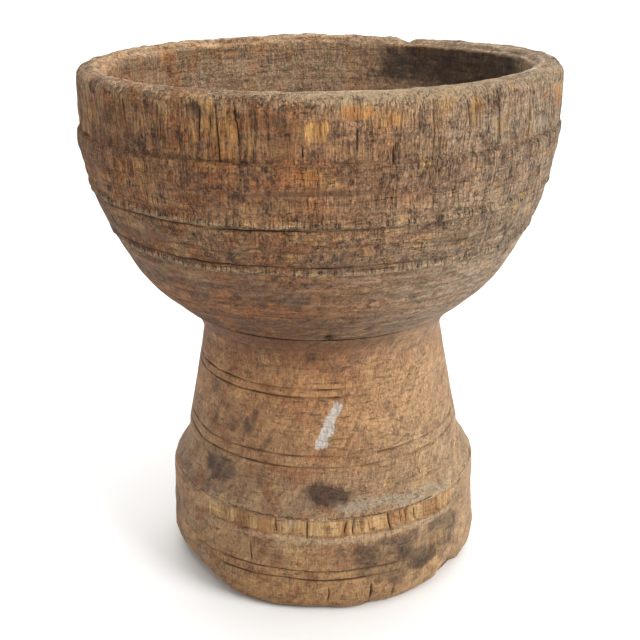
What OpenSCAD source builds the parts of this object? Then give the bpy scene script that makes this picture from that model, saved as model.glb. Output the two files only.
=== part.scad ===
// Turned wooden communion cup: a round bowl on a pedestal with a drum foot.
// Bowl and pedestal are turned apart. A round tenon under the bowl sits in a blind mortise
// in the pedestal, and a wedge in the tenon's end spreads it there and locks it.
// Millimetres, +Z up. The origin is the middle of the foot, on the surface it stands on.

/* [Foot] */
// Radius of the drum foot at its widest
foot_r = 51; // [46:0.5:64]
// Height of the drum, up to the edge of its ledge
foot_h = 33; // [27:0.5:40]
// How far the drum draws in from its widest to the edge of its ledge
foot_taper = 1.2; // [0.2:0.1:3]
// Height of the rounded heel at the bottom edge
heel_h = 9; // [3:0.5:11]
// How far the heel is rounded in under the drum
heel_in = 4.5; // [0.5:0.1:6]

/* [Stem] */
// Width of the ledge on the drum, which the cove takes up
ledge_w = 5.4; // [2:0.2:10]
// Height of the cove that runs from the ledge into the stem
cove_h = 12; // [6:0.5:13.5]
// Radius of the neck, the narrowest part of the stem
neck_r = 38.1; // [32:0.1:43]
// How far the neck lies below the joint with the bowl
neck_drop = 10; // [6:0.5:13]
// Radius of both pieces where they meet
collar_r = 43.5; // [39:0.1:52]
// Height of the joint between pedestal and bowl
joint_z = 88; // [73:0.5:106]

/* [Bowl] */
// Outside radius of the bowl at its girth, just under the rim band
bowl_r = 72; // [60:0.1:86]
// Height of the girth above the joint
girth_h = 56.4; // [47:0.1:68]
// Height of the rim band, from the girth to the crest of the rim
rim_band_h = 17.6; // [14:0.1:26]
// How far the rim band is cut back behind the girth
rim_step = 0.6; // [0:0.1:1.5]
// Width of the rim
rim_w = 8.8; // [6:0.1:11]
// Height of the rounding on top of the rim
rim_round = 3.6; // [2:0.1:7]
// Thickness of the bowl's floor above the joint
floor_t = 14; // [10:0.5:20]
// Fullness of the outside curve: 2 is an ellipse and less is leaner
side_curve = 1.85; // [1.7:0.01:2.3]
// Fullness of the hollow: 2 is an ellipse and more is squarer
hollow_curve = 2.3; // [2:0.05:2.7]

/* [Turned lines] */
// Width of a scored line at the surface
line_w = 0.9; // [0.4:0.1:1.2]
// Depth of a scored line
line_d = 0.45; // [0.2:0.05:1]
// Height of the lower line of the pair on the foot
foot_line_z = 12.2; // [10:0.1:20]
// Spacing of the pair on the foot
foot_line_gap = 3; // [2:0.1:5]
// Height of the lower line of the bottom pair on the stem, above the drum
low_line_h = 14.1; // [14:0.1:22]
// Spacing of the bottom pair on the stem
low_line_gap = 3.4; // [2:0.1:5]
// Depth of the upper line of the top pair on the stem, below the joint
top_line_drop = 17.1; // [14:0.1:20]
// Spacing of the top pair on the stem
top_line_gap = 2.6; // [2:0.1:5]
// Depth of the single line under the collar, below the joint
collar_line_drop = 5.5; // [3:0.1:9]
// Height of the single line low on the bowl, above the joint
ring_line_h = 11.7; // [6:0.1:20]
// Height of the lower bead on the bowl, above the joint
low_bead_h = 27; // [23:0.1:32]
// Height of the upper bead on the bowl, above the joint
high_bead_h = 41; // [36:0.1:44]
// Width of a bead at the surface
bead_w = 2.6; // [1.6:0.1:3.6]
// How far a bead stands proud
bead_out = 0.6; // [0.3:0.1:0.8]

/* [Tenon joint] */
// Diameter of the tenon under the bowl
tenon_d = 32; // [24:0.5:44]
// Length of the tenon
tenon_l = 26; // [21:0.5:36]
// Gap round the tenon in its mortise, which the glue fills
glue_gap = 0.15; // [0.05:0.05:0.4]
// Space left under the end of the tenon
toe_gap = 1; // [0.5:0.1:3]
// Length of the wedge
wedge_l = 18; // [10:0.5:20]
// Thickness of the wedge at its butt
wedge_butt_t = 4; // [2.5:0.1:7]
// Thickness of the wedge at its tip
wedge_tip_t = 1.2; // [0.8:0.1:2.4]
// Gap between each face of the wedge and its kerf
wedge_gap = 0.05; // [0.02:0.01:0.2]

/* [Hidden] */
$fn = 96;

// Points along one curved stretch of an outline
steps = 18;

// Radius of the drum at the edge of its ledge, and of the stem at the top of the cove
ledge_edge_r = foot_r - foot_taper;
stem_r = ledge_edge_r - ledge_w;
cove_top_z = foot_h + cove_h;
neck_z = joint_z - neck_drop;

// Levels of the bowl
girth_z = joint_z + girth_h;
crest_z = girth_z + rim_band_h;
floor_z = joint_z + floor_t;
band_r = bowl_r - rim_step;
shoulder_z = crest_z - rim_round;
hollow_r = band_r - rim_w;
hollow_depth = shoulder_z - floor_z;

// Height of the full curve whose upper part runs from the joint to the girth
side_h = girth_h / pow(1 - pow(collar_r / bowl_r, side_curve), 1 / side_curve);

// Bottom of the mortise, which the wedge's butt stands on
mortise_z = joint_z - tenon_l - toe_gap;
tenon_r = tenon_d / 2;
mortise_r = tenon_r + glue_gap;

// The cove bends away from the ledge and eases into the stem
function cove_r(s) = stem_r + ledge_w * pow(1 - s, 2);

// The collar flares out of the neck up to the joint
function flare_r(s) = neck_r + (collar_r - neck_r) * s * s;

// Radius of the stem between the cove and the joint
function stem_at(z) = z < neck_z
    ? stem_r + (neck_r - stem_r) * (z - cove_top_z) / (neck_z - cove_top_z)
    : flare_r((z - neck_z) / neck_drop);

// Radius of the bowl's side between the joint and the girth
function side_at(z) = bowl_r * pow(1 - pow((girth_z - z) / side_h, side_curve), 1 / side_curve);

// Radius of the hollow at an angle from the floor's middle, 0, to the shoulder, 90
function hollow_at(a) = [
    hollow_r * pow(sin(a), 2 / hollow_curve),
    shoulder_z - hollow_depth * pow(cos(a), 2 / hollow_curve)
];

// A line scored round a piece of radius r at height z, for subtraction
module scored_line(r, z) {
    rotate_extrude()
        polygon([[r - line_d, z], [r + line_d, z - line_w], [r + line_d, z + line_w]]);
}

// A round bead on a piece of radius r at height z
module bead(r, z) {
    bead_r = (bead_w * bead_w / 4 + bead_out * bead_out) / (2 * bead_out);
    rotate_extrude()
        translate([r + bead_out - bead_r, z])
            circle(r = bead_r);
}

// The wedge's outline, standing on its butt at the bottom of the mortise
module wedge_blank(gap) {
    butt = wedge_butt_t / 2 + gap;
    tip = wedge_tip_t / 2 + gap;
    translate([0, 0, mortise_z])
        rotate([90, 0, 0])
            linear_extrude(height = tenon_d, center = true)
                polygon([[-butt, 0], [butt, 0], [tip, wedge_l + gap], [-tip, wedge_l + gap]]);
}

module pedestal_outline() {
    polygon(concat(
        [[0, 0]],
        [for (i = [0:steps])
            let (a = 90 * i / steps)
                [foot_r - heel_in * (1 - sin(a)), heel_h * (1 - cos(a))]],
        [for (i = [0:steps]) [cove_r(i / steps), foot_h + cove_h * i / steps]],
        [for (i = [0:steps]) [flare_r(i / steps), neck_z + neck_drop * i / steps]],
        [[0, joint_z]]
    ));
}

module bowl_outline() {
    polygon(concat(
        [[0, joint_z]],
        [for (i = [0:2 * steps])
            let (z = joint_z + girth_h * i / (2 * steps))
                [side_at(z), z]],
        [[band_r, girth_z + line_w]],
        [for (i = [0:2 * steps])
            let (a = 180 * i / (2 * steps))
                [band_r - rim_w / 2 + rim_w / 2 * cos(a), shoulder_z + rim_round * sin(a)]],
        [for (i = [2 * steps - 1:-1:0]) hollow_at(90 * i / (2 * steps))]
    ));
}

module pedestal() {
    color([0.60, 0.43, 0.28])
        difference() {
            rotate_extrude()
                pedestal_outline();
            translate([0, 0, mortise_z])
                cylinder(r = mortise_r, h = joint_z - mortise_z + 1);
            for (z = [foot_line_z, foot_line_z + foot_line_gap])
                scored_line(foot_r - foot_taper * (z - heel_h) / (foot_h - heel_h), z);
            for (z = [foot_h + low_line_h, foot_h + low_line_h + low_line_gap])
                scored_line(stem_at(z), z);
            for (drop = [top_line_drop, top_line_drop + top_line_gap, collar_line_drop])
                scored_line(stem_at(joint_z - drop), joint_z - drop);
        }
}

module bowl() {
    color([0.44, 0.32, 0.22])
        difference() {
            union() {
                rotate_extrude()
                    bowl_outline();
                translate([0, 0, joint_z - tenon_l])
                    cylinder(r = tenon_r, h = tenon_l + floor_t / 2);
                for (h = [low_bead_h, high_bead_h])
                    bead(side_at(joint_z + h), joint_z + h);
            }
            wedge_blank(wedge_gap);
            for (h = [low_bead_h, high_bead_h], side = [-1, 1])
                let (z = joint_z + h + side * bead_w / 2)
                    scored_line(side_at(z), z);
            scored_line(side_at(joint_z + ring_line_h), joint_z + ring_line_h);
        }
}

module tenon_wedge() {
    color([0.72, 0.56, 0.36])
        intersection() {
            wedge_blank(0);
            translate([0, 0, mortise_z])
                cylinder(r = tenon_r, h = wedge_l);
        }
}

pedestal();
bowl();
tenon_wedge();
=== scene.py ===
import math

import bpy
import numpy as np
from mathutils import Matrix, Vector


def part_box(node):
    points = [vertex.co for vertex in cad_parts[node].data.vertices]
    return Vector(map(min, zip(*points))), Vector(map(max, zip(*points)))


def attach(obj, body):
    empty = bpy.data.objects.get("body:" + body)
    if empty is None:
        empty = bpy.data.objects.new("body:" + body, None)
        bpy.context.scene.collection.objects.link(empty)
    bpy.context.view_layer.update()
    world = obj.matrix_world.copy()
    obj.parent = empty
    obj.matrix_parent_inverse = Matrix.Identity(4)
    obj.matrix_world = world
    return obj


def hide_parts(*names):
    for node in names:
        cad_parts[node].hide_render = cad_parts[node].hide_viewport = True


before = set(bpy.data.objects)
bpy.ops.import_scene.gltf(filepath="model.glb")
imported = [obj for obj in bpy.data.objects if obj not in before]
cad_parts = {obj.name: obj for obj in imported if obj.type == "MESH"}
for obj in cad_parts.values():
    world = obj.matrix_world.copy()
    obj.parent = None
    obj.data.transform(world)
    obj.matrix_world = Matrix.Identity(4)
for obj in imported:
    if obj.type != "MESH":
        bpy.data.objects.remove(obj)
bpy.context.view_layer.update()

# ---------------------------------------------------------------------------------------
# Measures of the cup, in millimetres. Levels and radii come from the solids, and the rest
# are sizes of turned details, measured from those levels.
# ---------------------------------------------------------------------------------------
MM = 0.001

pedestal_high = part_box("pedestal")[1] / MM
bowl_low, bowl_high = (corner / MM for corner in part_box("bowl"))
wedge_low, wedge_high = (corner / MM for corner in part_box("tenon_wedge"))

foot_r = pedestal_high.x
joint_z = pedestal_high.z
bowl_r = bowl_high.x
crest_z = bowl_high.z
tenon_end_z = bowl_low.z
tenon_r = wedge_high.y
mortise_z = wedge_low.z

# Foot and stem
foot_h = 33.0
foot_taper = 1.2
heel_h = 9.0
heel_in = 4.5
ledge_w = 5.4
cove_h = 12.0
neck_r = 38.1
neck_drop = 10.0
neck_z = joint_z - neck_drop
collar_r = 43.5
ledge_edge_r = foot_r - foot_taper
stem_r = ledge_edge_r - ledge_w
cove_top_z = foot_h + cove_h

# Bowl
girth_z = joint_z + 56.4
rim_step = 0.6
rim_w = 8.8
rim_round = 3.6
floor_z = joint_z + 14.0
side_curve = 1.85
hollow_curve = 2.3
band_r = bowl_r - rim_step
shoulder_z = crest_z - rim_round
hollow_r = band_r - rim_w
glue_gap = 0.15

# Scored lines, beads and the strip split away under the ledge
foot_lines = (12.2, 15.2)
low_lines = (foot_h + 14.1, foot_h + 17.5)
top_lines = (joint_z - 19.7, joint_z - 17.1)
collar_line = joint_z - 5.5
ring_line = joint_z + 11.7
beads = (joint_z + 27.0, joint_z + 41.0)
bead_w = 2.6
strip_edges = (27.0, 32.4)

side_h = (girth_z - joint_z) / (1 - (collar_r / bowl_r) ** side_curve) ** (1 / side_curve)


def side_at(z):
    """Radius of the bowl's side between the joint and the girth."""
    return bowl_r * (1 - ((girth_z - z) / side_h) ** side_curve) ** (1 / side_curve)


# ---------------------------------------------------------------------------------------
# Outlines: lists of (radius, height), from the foot up or from the tenon round to the floor
# ---------------------------------------------------------------------------------------
def stretch(first, last, step):
    """Evenly spaced values from first to last, both included, about a step apart."""
    return np.linspace(first, last, max(2, int(round(abs(last - first) / step)) + 1))


def heights(low, high, step, lines=(), fine=0.22, reach=0.9):
    """Heights from low to high a step apart, and closer together beside scored lines."""
    levels = list(stretch(low, high, step))
    for line in lines:
        levels = [z for z in levels if abs(z - line) > reach]
        levels += list(stretch(line - reach, line + reach, fine))
    return np.array(sorted(z for z in levels if low <= z <= high))


def straight(start, end, step):
    """Points along a straight stretch of outline."""
    count = len(stretch(0, math.dist(start, end), step))
    return list(zip(np.linspace(start[0], end[0], count), np.linspace(start[1], end[1], count)))


def pedestal_outline():
    """Underside, rounded heel, drum, cove, stem and flare, then the seat and the mortise."""
    heel_r = foot_r - heel_in
    under = straight((0, 0), (heel_r, 0), 3.0)
    turns = np.radians(stretch(0, 90, 8))
    heel = [(foot_r - heel_in * (1 - math.sin(a)), heel_h * (1 - math.cos(a))) for a in turns]
    drum = [(foot_r - foot_taper * (z - heel_h) / (foot_h - heel_h), z)
            for z in heights(heel_h, foot_h, 0.75, (*foot_lines, *strip_edges), 0.25, 0.8)]
    cove = [(stem_r + ledge_w * (1 - (z - foot_h) / cove_h) ** 2, z)
            for z in heights(foot_h, cove_top_z, 0.6)]
    stem = [(stem_r + (neck_r - stem_r) * (z - cove_top_z) / (neck_z - cove_top_z), z)
            for z in heights(cove_top_z, neck_z, 0.85, (*low_lines, *top_lines))]
    flare = [(neck_r + (collar_r - neck_r) * ((z - neck_z) / (joint_z - neck_z)) ** 2, z)
             for z in heights(neck_z, joint_z, 0.7, (collar_line,))]
    mortise_r = tenon_r + glue_gap
    seat = straight((collar_r, joint_z), (mortise_r, joint_z), 3.0)
    bore = straight((mortise_r, joint_z), (mortise_r, mortise_z), 6.0)
    end = straight((mortise_r, mortise_z), (0, mortise_z), 5.0)
    return joined(under, heel, drum, cove, stem, flare, seat, bore, end)


def bowl_outline():
    """Tenon, seat, curved side, rim band and rim, then the hollow down to its floor."""
    tenon = straight((0, tenon_end_z), (tenon_r, tenon_end_z), 5.0)
    shank = straight((tenon_r, tenon_end_z), (tenon_r, joint_z), 6.0)
    seat = straight((tenon_r, joint_z), (collar_r, joint_z), 3.0)
    edges = [bead + way * bead_w / 2 for bead in beads for way in (-1, 1)]
    meet_z = beads[0] - 3
    low = [(side_at(z), z) for z in heights(joint_z, meet_z, 0.55, (ring_line,))]
    high = [(side_at(z), z) for z in heights(meet_z, girth_z, 0.8, (*beads, *edges), 0.3, 0.75)]
    step_h = 0.9
    band = [(band_r, z) for z in heights(girth_z + step_h, shoulder_z, 0.85)]
    middle = band_r - rim_w / 2
    turns = np.radians(stretch(0, 180, 7))
    rim = [(middle + rim_w / 2 * squared(math.cos(a)), shoulder_z + rim_round * squared(math.sin(a)))
           for a in turns]
    hollow = []
    for a in np.radians(stretch(90, 0, 2.6)):
        hollow.append((hollow_r * math.sin(a) ** (2 / hollow_curve),
                       shoulder_z - (shoulder_z - floor_z) * abs(math.cos(a)) ** (2 / hollow_curve)))
    return joined(tenon, shank, seat, low, high, band, rim, hollow)


def squared(value, fullness=0.75):
    """Rounds a corner more tightly than an ellipse does."""
    return math.copysign(abs(value) ** fullness, value)


def joined(*stretches):
    """One outline from stretches that meet, with each meeting point kept once."""
    same_place = 0.05
    points = []
    for part in stretches:
        for r, z in part:
            if not points or math.dist(points[-1], (r, z)) > same_place:
                points.append((float(r), float(z)))
    return points


# ---------------------------------------------------------------------------------------
# Node trees
# ---------------------------------------------------------------------------------------
class Tap:
    """An output socket that Python expressions can work with."""

    def __init__(self, maker, socket):
        self.maker = maker
        self.socket = socket

    def math(self, operation, *others, clamp=False):
        """The result of a Math node on this value and the others."""
        values = {i: other for i, other in enumerate((self, *others))}
        return self.maker.add("ShaderNodeMath", values, operation=operation, use_clamp=clamp)

    def __add__(self, other):
        return self.math("ADD", other)

    def __sub__(self, other):
        return self.math("SUBTRACT", other)

    def __mul__(self, other):
        return self.math("MULTIPLY", other)

    def __truediv__(self, other):
        return self.math("DIVIDE", other)

    def __rsub__(self, other):
        return self.maker.add("ShaderNodeMath", {0: other, 1: self}, operation="SUBTRACT")

    __radd__ = __add__
    __rmul__ = __mul__

    def clipped(self):
        return self.math("ADD", 0.0, clamp=True)

    def most(self, other):
        return self.math("MAXIMUM", other)

    def size(self):
        return self.math("ABSOLUTE")

    def between(self, low, high):
        """0 below low, 1 above high and a smooth rise between them; high may be the lower."""
        ends = {"Value": self, "From Min": low, "From Max": high}
        return self.maker.add("ShaderNodeMapRange", ends, interpolation_type="SMOOTHSTEP")


class Maker:
    """Adds nodes to one tree."""

    def __init__(self, tree):
        self.tree = tree

    def add(self, kind, values=None, out=0, stops=None, **settings):
        """A node of this kind: its settings first, then the values or links of its sockets."""
        node = self.tree.nodes.new(kind)
        for name, value in settings.items():
            setattr(node, name, value)
        if stops:
            ramp = node.color_ramp
            while len(ramp.elements) < len(stops):
                ramp.elements.new(1.0)
            for element, (place, colour) in zip(ramp.elements, stops):
                element.position = place
                element.color = (*colour, 1.0)
        for name, value in (values or {}).items():
            self.put(node.inputs[name], value)
        return Tap(self, node.outputs[out])

    def put(self, socket, value):
        """Links a tap to the socket, or sets the socket's own value."""
        if isinstance(value, Tap):
            self.tree.links.new(value.socket, socket)
        else:
            socket.default_value = value


# ---------------------------------------------------------------------------------------
# The lathe: a node tree that turns an outline round the axis
# ---------------------------------------------------------------------------------------
LATHE_INPUTS = (
    ("Outline", "NodeSocketGeometry"),
    ("Rays", "NodeSocketObject"),
    ("Oval", "NodeSocketFloat"),
    ("Oval Axis", "NodeSocketVector"),
    ("Wander", "NodeSocketFloat"),
    ("Wander Scale", "NodeSocketFloat"),
    ("Wander Seed", "NodeSocketFloat"),
    ("Finish", "NodeSocketMaterial"),
)


def lathe_tree():
    """Turns an outline in the XZ plane through the rays of a divided circle."""
    tree = bpy.data.node_groups.new("turned_on_the_lathe", "GeometryNodeTree")
    for name, kind in LATHE_INPUTS:
        tree.interface.new_socket(name, in_out="INPUT", socket_type=kind)
    tree.interface.new_socket("Turned", in_out="OUTPUT", socket_type="NodeSocketGeometry")
    lathe = Maker(tree)
    given = tree.nodes.new("NodeGroupInput")
    taken = {name: Tap(lathe, given.outputs[name]) for name, _ in LATHE_INPUTS}

    outline = taken["Outline"]
    rays = lathe.add("GeometryNodeObjectInfo", {"Object": taken["Rays"]}, out="Geometry")
    ray_count = lathe.add("GeometryNodeAttributeDomainSize", {"Geometry": rays}, component="MESH")
    ring_count = lathe.add("GeometryNodeAttributeDomainSize", {"Geometry": outline},
                           component="MESH")
    grid = lathe.add("GeometryNodeMeshGrid",
                     {"Vertices X": ray_count + 1, "Vertices Y": ring_count})

    index = lathe.add("GeometryNodeInputIndex")
    ring = lathe.add("FunctionNodeIntegerMath", {0: index, 1: ring_count}, operation="MODULO")
    column = lathe.add("FunctionNodeIntegerMath", {0: index, 1: ring_count},
                       operation="DIVIDE_FLOOR")
    column = lathe.add("FunctionNodeIntegerMath", {0: column, 1: ray_count}, operation="MODULO")

    place = lathe.add("GeometryNodeInputPosition")
    on_outline = lathe.add("GeometryNodeSampleIndex",
                           {"Geometry": outline, "Value": place, "Index": ring},
                           data_type="FLOAT_VECTOR")
    on_circle = lathe.add("GeometryNodeSampleIndex",
                          {"Geometry": rays, "Value": place, "Index": column},
                          data_type="FLOAT_VECTOR")
    radius = lathe.add("ShaderNodeSeparateXYZ", {0: on_outline}, out="X")
    height = lathe.add("ShaderNodeSeparateXYZ", {0: on_outline}, out="Z")

    # Dried wood is slightly oval, and its surface wanders. The joint's hidden faces stay true.
    along = lathe.add("ShaderNodeVectorMath", {0: on_circle, 1: taken["Oval Axis"]},
                      out="Value", operation="DOT_PRODUCT")
    oval = (along * along * 2.0 - 1.0) * taken["Oval"]
    upward = lathe.add("ShaderNodeCombineXYZ", {"Z": height})
    spoke = lathe.add("ShaderNodeVectorMath", {0: on_circle, "Scale": radius}, operation="SCALE")
    true_place = lathe.add("ShaderNodeVectorMath", {0: spoke, 1: upward}, operation="ADD")
    noise = lathe.add("ShaderNodeTexNoise",
                      {"Vector": true_place, "W": taken["Wander Seed"],
                       "Scale": taken["Wander Scale"], "Detail": 2.0},
                      noise_dimensions="4D")
    wander = (noise - 0.5) * 2.0 * taken["Wander"]
    joint_r, shell_r = 20 * MM, 34 * MM
    outside = radius.between(joint_r, shell_r)
    grown = radius * (1.0 + oval * outside) + wander * outside
    spoke = lathe.add("ShaderNodeVectorMath", {0: on_circle, "Scale": grown}, operation="SCALE")
    turned_place = lathe.add("ShaderNodeVectorMath", {0: spoke, 1: upward}, operation="ADD")

    turned = lathe.add("GeometryNodeSetPosition", {"Geometry": grid, "Position": turned_place})
    turned = lathe.add("GeometryNodeStoreNamedAttribute",
                       {"Geometry": turned, "Name": "ring", "Value": ring},
                       data_type="INT", domain="POINT")
    same_place = 0.002 * MM
    turned = lathe.add("GeometryNodeMergeByDistance", {"Geometry": turned, "Distance": same_place})
    turned = lathe.add("GeometryNodeSetShadeSmooth", {"Geometry": turned})
    turned = lathe.add("GeometryNodeRealizeInstances", {"Geometry": turned})
    turned = lathe.add("GeometryNodeSetMaterial", {"Geometry": turned, "Material": taken["Finish"]})
    result = tree.nodes.new("NodeGroupOutput")
    tree.links.new(turned.socket, result.inputs[0])
    return tree


def divided_circle(splits, count):
    """An object whose points are rays round the circle, in degrees, and closer by each split."""
    cleared = 0.62
    beside = (0.06, 0.22, 0.5)
    turns = list(np.linspace(-180, 180, count, endpoint=False))
    for split in splits:
        turns = [turn for turn in turns if abs(turn - split) > cleared]
        turns += [split + way * offset for offset in beside for way in (-1, 1)]
    turns = np.radians(sorted(turns))
    mesh = bpy.data.meshes.new("rays")
    mesh.from_pydata([(math.sin(a), -math.cos(a), 0) for a in turns], [], [])
    return placed("rays", mesh)


def placed(name, data):
    """An object in the scene that shows this mesh, lamp or camera."""
    piece = bpy.data.objects.new(name, data)
    bpy.context.scene.collection.objects.link(piece)
    return piece


LATHE = lathe_tree()


def turn(name, outline, splits, count, finish, **sizes):
    """A closed mesh turned from an outline."""
    mesh = bpy.data.meshes.new(name)
    mesh.from_pydata([(r * MM, 0, z * MM) for r, z in outline], [], [])
    blank = placed(name + "_blank", mesh)
    rays = divided_circle(splits, count)
    lathe = blank.modifiers.new("lathe", "NODES")
    lathe.node_group = LATHE
    sockets = {item.name: item.identifier for item in LATHE.interface.items_tree}
    given = {"Rays": rays, "Finish": finish, **sizes}
    for label, value in given.items():
        lathe[sockets[label]] = value
    solid = blank.evaluated_get(bpy.context.evaluated_depsgraph_get())
    turned = bpy.data.meshes.new_from_object(solid)
    turned.name = name
    turned.materials.clear()
    turned.materials.append(finish)
    turned.polygons.foreach_set("material_index", [0] * len(turned.polygons))
    bpy.data.objects.remove(blank)
    bpy.data.objects.remove(rays)
    return placed(name, turned)


def saw_kerf(piece, wedge, gap, run_out=1.2):
    """Saws the slot for the wedge up into the tenon, and out through both of its sides."""
    middle = (wedge_low + wedge_high) * MM / 2
    grown = []
    for vertex in wedge.data.vertices:
        away = wedge.matrix_world @ vertex.co - middle
        room = Vector((math.copysign(gap, away.x), 0, math.copysign(gap, away.z))) * MM
        grown.append(middle + Vector((away.x, away.y * run_out, away.z)) + room)
    mesh = bpy.data.meshes.new("kerf")
    mesh.from_pydata(grown, [], [tuple(face.vertices) for face in wedge.data.polygons])
    saw = placed("kerf", mesh)
    cut = piece.modifiers.new("kerf", "BOOLEAN")
    cut.operation = "DIFFERENCE"
    cut.solver = "EXACT"
    cut.object = saw
    sawn = bpy.data.meshes.new_from_object(
        piece.evaluated_get(bpy.context.evaluated_depsgraph_get()))
    piece.modifiers.clear()
    piece.data = sawn
    bpy.data.objects.remove(saw)


# ---------------------------------------------------------------------------------------
# Wear: what years of use and weather took from the turned surface, with painted highlights and a
# painted shadow among its marks. "turn" is in degrees round the axis from the front, rising toward
# the right; depths are in millimetres.
# ---------------------------------------------------------------------------------------
MARKS = ("bare", "stain_and_shadow", "dust_and_highlight", "cut", "worn", "ticks", "scar", "open", "wavy", "hollow")


def eased(value, low, high):
    """0 below low, 1 above high and a smooth rise between them; high may be the lower."""
    t = np.clip((value - low) / (high - low), 0, 1)
    return t * t * (3 - 2 * t)


def near(distance, reach):
    """1 where the distance is 0, fading to nothing at about twice the reach."""
    return np.exp(-(distance / reach) ** 2)


def weave(turn, along, cells, length, seed):
    """Seeded smooth noise from 0 to 1 that closes up round the axis."""
    rows, first_row = 256, 100.5
    table = np.random.default_rng(seed).random((cells, rows))
    x = (turn / 360 % 1) * cells
    y = along / length + first_row
    i, j = np.floor(x).astype(int), np.floor(y).astype(int)
    u, v = eased(x - i, 0, 1), eased(y - j, 0, 1)
    i, j, right, above = i % cells, j % rows, (i + 1) % cells, (j + 1) % rows
    low = table[i, j] * (1 - u) + table[right, j] * u
    high = table[i, above] * (1 - u) + table[right, above] * u
    return low * (1 - v) + high * v


class Surface:
    """The points of a turned piece, the wear they have gathered, and the highlights and shadow
    painted on them.
    """

    def __init__(self, piece, outline):
        self.mesh = piece.data
        count = len(self.mesh.vertices)
        place = np.empty(count * 3)
        self.mesh.vertices.foreach_get("co", place)
        x, y, self.z = (place.reshape(-1, 3) / MM).T
        self.r = np.hypot(x, y)
        self.turn = np.degrees(np.arctan2(x, -y))
        ring = np.empty(count, dtype=np.int32)
        self.mesh.attributes["ring"].data.foreach_get("value", ring)
        line = np.array(outline)
        self.line_r, self.line_z = line[ring].T
        run = np.r_[0, np.cumsum(np.hypot(*np.diff(line, axis=0).T))]
        self.run = run[ring]
        ahead = np.gradient(line, axis=0)
        ahead /= np.hypot(*ahead.T)[:, None]
        self.out_r, self.out_z = ahead[ring, 1], -ahead[ring, 0]
        self.taken = np.zeros(count)
        self.swing = np.zeros(count)
        self.marks = {name: np.zeros(count) for name in MARKS}

    def carve(self, depth):
        """Takes this much wood off, square to the turned surface."""
        self.taken += depth

    def mark(self, name, amount):
        """Keeps the strongest of the amounts given for this mark, from 0 to 1."""
        self.marks[name] = np.maximum(self.marks[name], np.clip(amount, 0, 1))

    def away(self, turn):
        """Degrees from a turn, negative to its left."""
        return (self.turn - turn + 180) % 360 - 180

    def patch(self, left, right, low, high, ragged=1.0, seed=1):
        """1 inside an area with ragged edges and 0 outside it."""
        wide, tall = (right - left) / 2, (high - low) / 2
        squareness = 3
        degree = np.maximum(self.line_r, 1.0) * math.pi / 180
        stray = 2.6 * (weave(self.turn, self.z, 50, 40.0, seed) - 0.5)
        stray = ragged * (stray + 1.6 * (weave(self.turn, self.z, 300, 9.0, seed + 2) - 0.5))
        aside = np.abs(self.away((left + right) / 2)) / wide
        over = np.abs(self.z + stray - (low + high) / 2) / tall
        reach = np.minimum(wide * degree, tall)
        inside = (1 - (aside ** squareness + over ** squareness) ** (1 / squareness)) * reach
        inside += ragged * (weave(self.turn, self.z, 120, 2.5, seed + 1) - 0.5)
        return eased(inside, -0.6, 1.4)

    def score(self, level, depth, strength, half_w=0.42, stray=0.25, seed=1):
        """A line cut round the piece while it turned, now worn along its length."""
        off = self.z - level - stray * (weave(self.turn, self.z * 0, 24, 1.0, seed) - 0.5) * 2
        groove = np.clip(1 - np.abs(off) / half_w, 0, 1) ** 0.8
        worn = strength * (0.45 + 0.75 * weave(self.turn, self.z * 0, 60, 1.0, seed + 1))
        self.carve(depth * groove * worn)
        self.mark("cut", groove * worn)

    def bead(self, level, height, width, seed):
        """A rounded ridge; the fine grooves above and below it are scored separately."""
        off = np.abs(self.z - level)
        kept = 0.5 + 0.5 * weave(self.turn, self.z * 0, 44, 1.0, seed)
        self.carve(-height * kept * np.cos(np.clip(off / width, 0, 1) * math.pi / 2) ** 1.5)
        # The ridge's pale top is partly rubbed wear and partly a painted highlight.
        self.mark("worn", kept * eased(off, width * 0.95, width * 0.25))
        self.mark("ticks", eased(off, width * 1.05, width * 0.6))

    def split(self, turn, low, high, depth, wide=0.22, strength=1.0, seed=1):
        """A crack that runs with the grain and wanders a little."""
        off = self.away(turn)
        drift = 1.3 * (weave(self.z * 0 + turn, self.z, 8, 5.0, seed) - 0.5)
        self.swing += drift * near(off, 3.5)
        ends = eased(self.z, low - 0.5, low + 1.2) * eased(self.z, high + 0.5, high - 1.2)
        open_w = strength * ends * (0.45 + 0.9 * weave(self.z * 0 + turn, self.z, 8, 2.4, seed + 1))
        lips = eased(np.abs(off), wide, 0.06)
        self.carve(depth * open_w * lips)
        self.mark("cut", open_w * lips)

    def flatten(self, edge_r, inward, upward, strength):
        """Rubs the lower edge away to a slope this far in and this far up at full strength."""
        along_r, along_z = np.array((upward, inward)) / math.hypot(upward, inward)
        past = (self.r - edge_r + inward * strength) * along_r - self.z * along_z
        heel_only = (self.r > edge_r - 14) & (self.z < 18)
        past = np.where(heel_only, np.maximum(past, 0), 0)
        self.r = self.r - along_r * past
        self.z = self.z + along_z * past
        self.mark("worn", 0.4 * eased(past, 0.2, 2))

    def finish(self):
        """Moves the points and keeps the marks for the finishes."""
        r = np.maximum(self.r - self.taken * self.out_r, 0)
        z = np.maximum(self.z - self.taken * self.out_z, 0)
        turn = np.radians(self.turn + self.swing)
        place = np.stack((r * np.sin(turn), -r * np.cos(turn), z), axis=1) * MM
        self.mesh.vertices.foreach_set("co", place.ravel())
        for name, amount in self.marks.items():
            layer = self.mesh.attributes.new(name, "FLOAT", "POINT")
            layer.data.foreach_set("value", amount)
        self.mesh.attributes.remove(self.mesh.attributes["ring"])
        self.mesh.update()


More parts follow.
